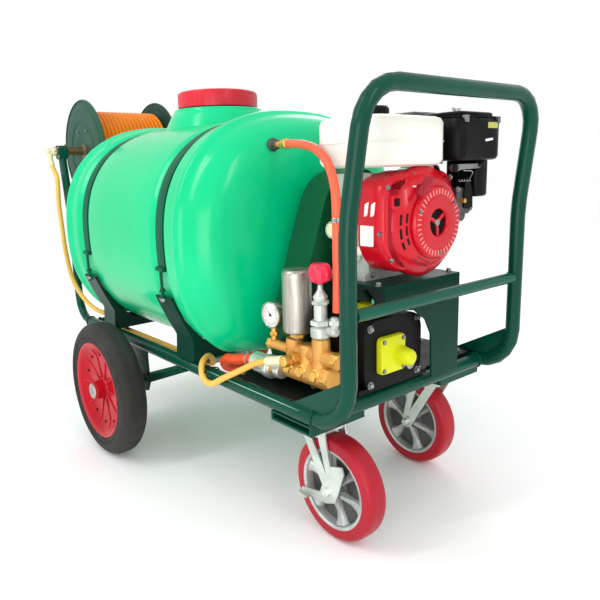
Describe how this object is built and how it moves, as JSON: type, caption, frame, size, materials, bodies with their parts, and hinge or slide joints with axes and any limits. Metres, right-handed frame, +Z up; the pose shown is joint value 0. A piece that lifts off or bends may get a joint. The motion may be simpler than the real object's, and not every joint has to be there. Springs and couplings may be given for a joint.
{
  "type": "wheeled sprayer cart",
  "caption": "Wheeled motor sprayer: strapped plastic tank on a tube frame, engine and belt-driven pump by the push handle, hose reel at the far end.",
  "frame": {"origin": "centre of the bounding box, on the ground", "axes": "+Z up, +X towards the push handle, -X towards the hose reel, -Y the left of whoever pushes"},
  "size_m": [1.6798, 0.906, 1.07],
  "materials": {
    "frame_green": "gloss paint",
    "tank_green": "satin moulded plastic",
    "lid_red": "moulded plastic",
    "paint_red": "gloss paint",
    "plastic_red": "moulded plastic",
    "paint_white": "smooth white",
    "plastic_black": "moulded plastic",
    "pump_black": "painted casting",
    "cast_aluminium": "rough casting",
    "zinc": "zinc plated",
    "steel": "bare steel",
    "polished_steel": "polished",
    "brass": "cast",
    "cover_yellow": "gloss paint",
    "hose_yellow": "smooth hose",
    "hose_orange": "wound hose",
    "hose_red": "smooth hose",
    "belt_black": "dull rubber",
    "tyre_grey": "worn rubber",
    "tread_red": "cast polyurethane"
  },
  "bodies": {
    "cart": {"handle_hoop": "frame_green", "crossbar": "frame_green", "handle_cross_rail": "frame_green", "reel_cross_rail": "frame_green", "deck_plate": "frame_green", "axle_shaft": "steel", "tank": "tank_green", "tank_strap_front": "frame_green", "tank_strap_rear": "frame_green", "tank_saddle_front": "frame_green", "tank_saddle_rear": "frame_green", "reel_swivel": "brass", "return_fitting": "brass", "return_hose": "hose_red", "delivery_hose": "hose_yellow", "suction_hose": "hose_red", "engine_pedestal": "frame_green", "engine_crankcase": "cast_aluminium", "cylinder_head": "cast_aluminium", "fan_shroud": "paint_red", "recoil_starter": "paint_red", "fuel_tank": "paint_white", "air_cleaner": "plastic_black", "carburettor": "plastic_black", "muffler": "cast_aluminium", "drive_belt": "belt_black", "belt_guard": "frame_green", "pump_crankcase": "pump_black", "pump_end_cover": "cover_yellow", "pump_manifold": "brass", "air_chamber": "polished_steel", "pressure_gauge": "polished_steel", "regulator_valve": "steel", "suction_strainer": "zinc", "side_rail_left": "frame_green", "reel_post_left": "frame_green", "caster_mount_left": "frame_green", "axle_bracket_left": "frame_green", "side_rail_right": "frame_green", "reel_post_right": "frame_green", "caster_mount_right": "frame_green", "axle_bracket_right": "frame_green"},
    "road_wheel_left": {"road_rim_left": "paint_red", "road_tyre_left": "tyre_grey"},
    "road_wheel_right": {"road_rim_right": "paint_red", "road_tyre_right": "tyre_grey"},
    "caster_left": {"caster_fork_left": "zinc"},
    "caster_left_roller": {"caster_wheel_left": "tread_red"},
    "caster_left_brake": {"caster_brake_pedal": "zinc"},
    "caster_right": {"caster_fork_right": "zinc"},
    "caster_right_roller": {"caster_wheel_right": "tread_red"},
    "reel": {"hose_reel": "frame_green", "reel_hose": "hose_orange"},
    "lid": {"tank_lid": "lid_red"},
    "filler_cap": {"fuel_cap": "paint_white"},
    "starter_handle": {"starter_grip": "plastic_red"},
    "throttle": {"throttle_lever": "steel"},
    "crankshaft": {"engine_pulley": "cast_aluminium"},
    "pump_shaft": {"pump_pulley": "cast_aluminium"},
    "pressure_control": {"regulator_knob": "lid_red"}
  },
  "joints": [
    {"name": "wheel_left_spin", "type": "hinge", "parent": "cart", "child": "road_wheel_left", "pos_m": [-0.0845, -0.403, 0.193], "axis": [0, 1, 0], "continuous": true},
    {"name": "wheel_right_spin", "type": "hinge", "parent": "cart", "child": "road_wheel_right", "pos_m": [-0.0845, 0.403, 0.193], "axis": [0, 1, 0], "continuous": true},
    {"name": "caster_left_swivel", "type": "hinge", "parent": "cart", "child": "caster_left", "pos_m": [0.6165, -0.205, 0.256], "axis": [0, 0, 1], "continuous": true},
    {"name": "caster_left_roll", "type": "hinge", "parent": "caster_left", "child": "caster_left_roller", "pos_m": [0.6765, -0.205, 0.118], "axis": [0, 1, 0], "continuous": true},
    {"name": "caster_left_brake_press", "type": "hinge", "parent": "caster_left", "child": "caster_left_brake", "pos_m": [0.6765, -0.205, 0.118], "axis": [0, 1, 0], "range_deg": [-12, 0]},
    {"name": "caster_right_swivel", "type": "hinge", "parent": "cart", "child": "caster_right", "pos_m": [0.6165, 0.205, 0.256], "axis": [0, 0, 1], "continuous": true},
    {"name": "caster_right_roll", "type": "hinge", "parent": "caster_right", "child": "caster_right_roller", "pos_m": [0.5565, 0.205, 0.118], "axis": [0, 1, 0], "continuous": true},
    {"name": "reel_spin", "type": "hinge", "parent": "cart", "child": "reel", "pos_m": [-0.6585, 0, 0.888], "axis": [0, 1, 0], "continuous": true},
    {"name": "lid_turn", "type": "hinge", "parent": "cart", "child": "lid", "pos_m": [-0.0385, 0, 1.009], "axis": [0, 0, 1], "range_deg": [0, 540]},
    {"name": "fuel_cap_turn", "type": "hinge", "parent": "cart", "child": "filler_cap", "pos_m": [0.6565, -0.07, 0.92], "axis": [0, 0, 1], "range_deg": [0, 90]},
    {"name": "starter_pull", "type": "slide", "parent": "cart", "child": "starter_handle", "axis": [1, 0, 0], "range_m": [0, 0.06], "stiffness_N_per_m": 60, "springref_m": -0.02},
    {"name": "throttle_turn", "type": "hinge", "parent": "cart", "child": "throttle", "pos_m": [0.7405, 0.092, 0.796], "axis": [1, 0, 0], "range_deg": [-30, 0]},
    {"name": "pump_shaft_spin", "type": "hinge", "parent": "cart", "child": "pump_shaft", "pos_m": [0.4845, -0.09, 0.407], "axis": [1, 0, 0], "continuous": true},
    {"name": "crankshaft_spin", "type": "hinge", "parent": "cart", "child": "crankshaft", "pos_m": [0.4845, 0.01, 0.684], "axis": [1, 0, 0], "continuous": true},
    {"name": "pressure_turn", "type": "hinge", "parent": "cart", "child": "pressure_control", "pos_m": [0.6425, -0.222, 0.59], "axis": [0, 0, 1], "range_deg": [-180, 180]}
  ],
  "couplings": [
    {"joint": "crankshaft_spin", "follows": "pump_shaft_spin", "ratio": 2.3333}
  ]
}
